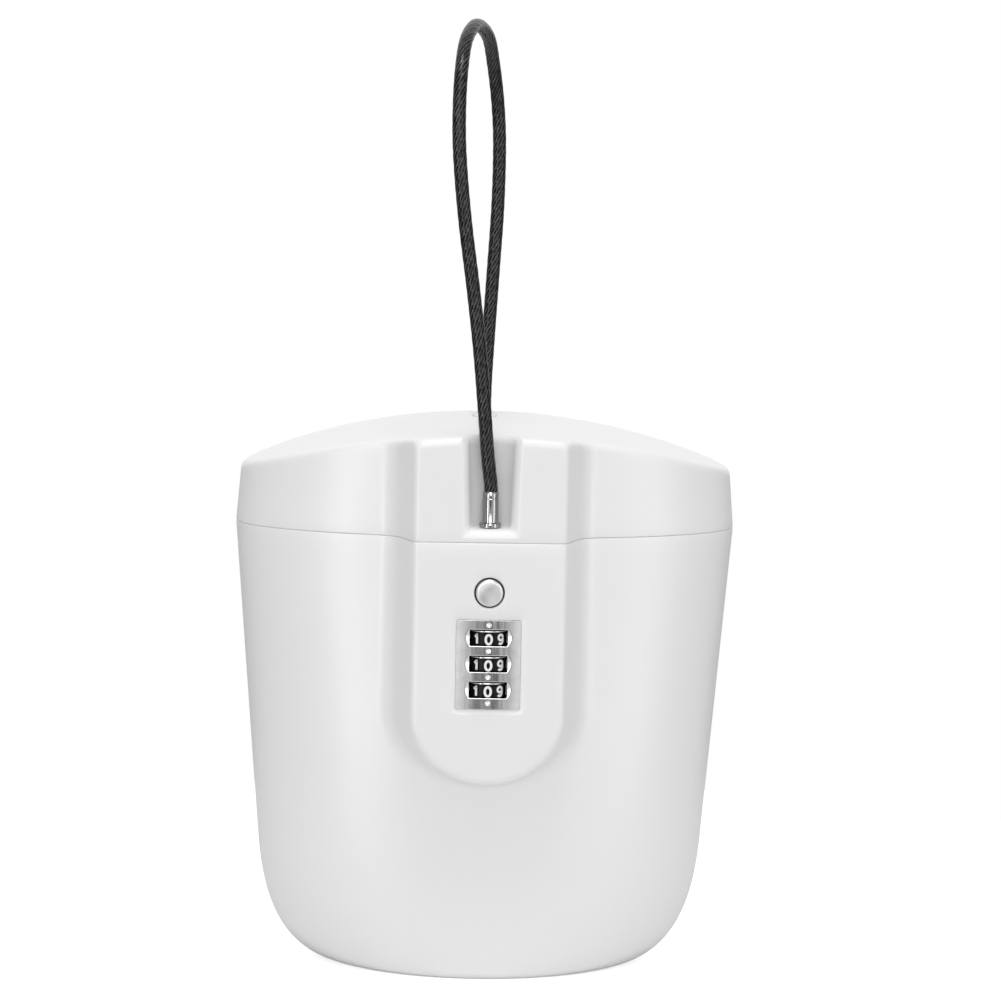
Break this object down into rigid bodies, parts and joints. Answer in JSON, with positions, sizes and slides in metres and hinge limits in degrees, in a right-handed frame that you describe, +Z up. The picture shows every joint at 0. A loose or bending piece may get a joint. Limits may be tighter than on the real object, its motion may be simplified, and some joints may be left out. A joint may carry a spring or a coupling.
{
  "type": "portable beach safe",
  "caption": "Portable oval safe box with hinged arched lid, number wheels, push button and a steel cable loop that ties it to a chair or rail and locks the lid.",
  "frame": {"origin": "centre of the oval foot, on the surface that the safe stands on", "axes": "+Z up, -Y out of the front with the number wheels, +X to the right seen from the front"},
  "size_m": [0.165, 0.1003, 0.313],
  "materials": {
    "abs_white": "white moulded ABS, satin gloss with a very fine moulded texture",
    "inner_plastic": "pale grey moulded inner covers",
    "slide_grey": "dark grey moulded slide",
    "wheel_black": "black moulded wheels with plain white digits",
    "chrome_plate": "chrome plated stamped plate",
    "plug_chrome": "turned, nickel plated plug",
    "button_silver": "satin silver button",
    "lock_zinc": "die cast metal, dull",
    "steel": "plain bright steel",
    "spring_steel": "spring steel, slightly dark",
    "sleeve_brass": "turned brass",
    "sleeve_aluminium": "crimped aluminium sleeve",
    "cable_black": "twisted wire rope under a thin glossy black coat",
    "gland_rubber": "pale soft rubber",
    "seal_rubber": "grey rubber cord"
  },
  "bodies": {
    "case": {"body_shell": "abs_white", "hinge_pin": "steel", "lock_frame": "lock_zinc", "lock_cover": "inner_plastic", "cover_screws": "steel", "dial_plate": "chrome_plate", "clutch_spring": "spring_steel", "detent_spring": "spring_steel", "button_spring": "spring_steel", "latch_clip": "spring_steel"},
    "lid": {"lid_shell": "abs_white", "rim_seal": "seal_rubber", "cable_loop": "cable_black", "cable_gland": "gland_rubber", "anchor_washer": "steel", "anchor_sleeve": "sleeve_aluminium", "anchor_cover": "inner_plastic", "anchor_screws": "steel"},
    "plug": {"cable_plug": "plug_chrome"},
    "button": {"release_button": "button_silver", "fence_plate": "steel", "spreader_pin": "steel"},
    "code_set": {"dial_spindle": "steel", "code_slide": "slide_grey"},
    "dial_1": {"dial_wheel_1": "wheel_black"},
    "dial_2": {"dial_wheel_2": "wheel_black"},
    "dial_3": {"dial_wheel_3": "wheel_black"},
    "sleeve_1": {"clutch_sleeve_1": "sleeve_brass"},
    "sleeve_2": {"clutch_sleeve_2": "sleeve_brass"},
    "sleeve_3": {"clutch_sleeve_3": "sleeve_brass"}
  },
  "joints": [
    {"name": "lid_hinge", "type": "hinge", "parent": "case", "child": "lid", "pos_m": [0, 0.0438, 0.146], "axis": [-1, 0, 0], "range_deg": [0, 105]},
    {"name": "plug_pull", "type": "slide", "parent": "lid", "child": "plug", "axis": [0, 0, 1], "range_m": [0, 0.018], "deforming": ["cable_loop", "latch_clip"]},
    {"name": "button_press", "type": "slide", "parent": "case", "child": "button", "axis": [0, 1, 0], "range_m": [0, 0.002], "stiffness_N_per_m": 600, "springref_m": -0.001, "deforming": ["button_spring", "latch_clip"]},
    {"name": "code_change", "type": "slide", "parent": "case", "child": "code_set", "axis": [0, 0, -1], "range_m": [0, 0.0012], "stiffness_N_per_m": 800, "springref_m": -0.0006, "deforming": ["clutch_spring"]},
    {"name": "dial_1_spin", "type": "hinge", "parent": "case", "child": "dial_1", "pos_m": [0, -0.0465, 0.1152], "axis": [0, 0, 1], "continuous": true, "deforming": ["detent_spring"]},
    {"name": "dial_2_spin", "type": "hinge", "parent": "case", "child": "dial_2", "pos_m": [0, -0.0465, 0.1067], "axis": [0, 0, 1], "continuous": true},
    {"name": "dial_3_spin", "type": "hinge", "parent": "case", "child": "dial_3", "pos_m": [0, -0.0465, 0.0982], "axis": [0, 0, 1], "continuous": true},
    {"name": "sleeve_1_turn", "type": "hinge", "parent": "code_set", "child": "sleeve_1", "pos_m": [0, -0.0465, 0.1152], "axis": [0, 0, 1], "continuous": true},
    {"name": "sleeve_2_turn", "type": "hinge", "parent": "code_set", "child": "sleeve_2", "pos_m": [0, -0.0465, 0.1067], "axis": [0, 0, 1], "continuous": true},
    {"name": "sleeve_3_turn", "type": "hinge", "parent": "code_set", "child": "sleeve_3", "pos_m": [0, -0.0465, 0.0982], "axis": [0, 0, 1], "continuous": true}
  ],
  "couplings": [
    {"joint": "sleeve_1_turn", "follows": "dial_1_spin", "ratio": 1},
    {"joint": "sleeve_2_turn", "follows": "dial_2_spin", "ratio": 1},
    {"joint": "sleeve_3_turn", "follows": "dial_3_spin", "ratio": 1}
  ]
}
